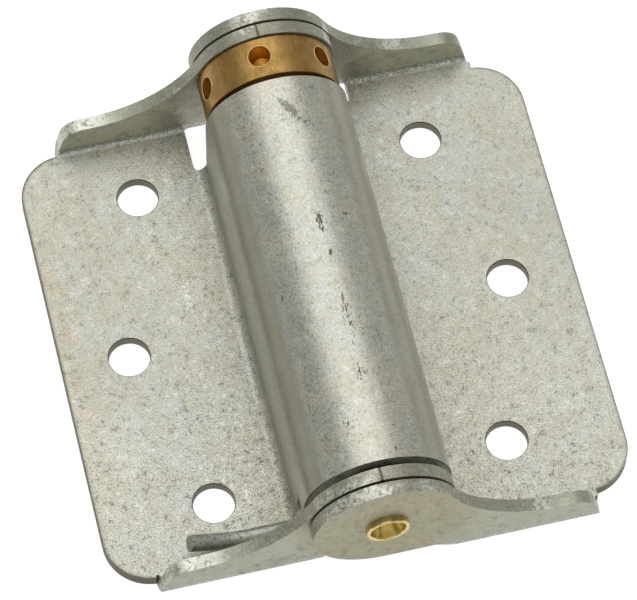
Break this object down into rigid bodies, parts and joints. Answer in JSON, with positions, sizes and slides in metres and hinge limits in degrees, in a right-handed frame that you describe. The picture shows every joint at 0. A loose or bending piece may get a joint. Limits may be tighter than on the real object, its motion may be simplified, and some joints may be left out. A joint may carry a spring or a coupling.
{
  "type": "spring hinge",
  "caption": "Surface-mounted spring hinge of folded sheet metal: eared leaves on a pin, a rolled barrel around a torsion spring, and a drilled brass collar that sets its tension.",
  "frame": {"origin": "on the plane of the leaves' backs, under the pin's axis, midway between the outer ears", "axes": "+Z out of the leaves' fronts, +Y along the pin towards the collar, +X towards the swing leaf's outer edge"},
  "size_m": [0.111, 0.1168, 0.0357],
  "materials": {
    "galvanised_sheet": "galvanised, finely mottled",
    "turned_brass": "turned",
    "spring_wire": "drawn wire, dark",
    "yellow_plated_pin": "yellow plated"
  },
  "bodies": {
    "barrel_leaf_body": {"barrel_leaf": "galvanised_sheet", "torsion_spring": "spring_wire"},
    "swing_leaf_body": {"swing_leaf": "galvanised_sheet", "pivot_pin": "yellow_plated_pin"},
    "collar_body": {"adjusting_collar": "turned_brass"}
  },
  "joints": [
    {"name": "leaf_swing", "type": "hinge", "parent": "barrel_leaf_body", "child": "swing_leaf_body", "pos_m": [0, 0, 0.0204], "axis": [0, -1, 0], "range_deg": [0, 180], "stiffness_Nm_per_rad": 2.7},
    {"name": "collar_turn", "type": "hinge", "parent": "barrel_leaf_body", "child": "collar_body", "pos_m": [0, 0.0462, 0.0204], "axis": [0, -1, 0], "range_deg": [0, 180], "stiffness_Nm_per_rad": 2.7, "deforming": ["torsion_spring"]}
  ]
}
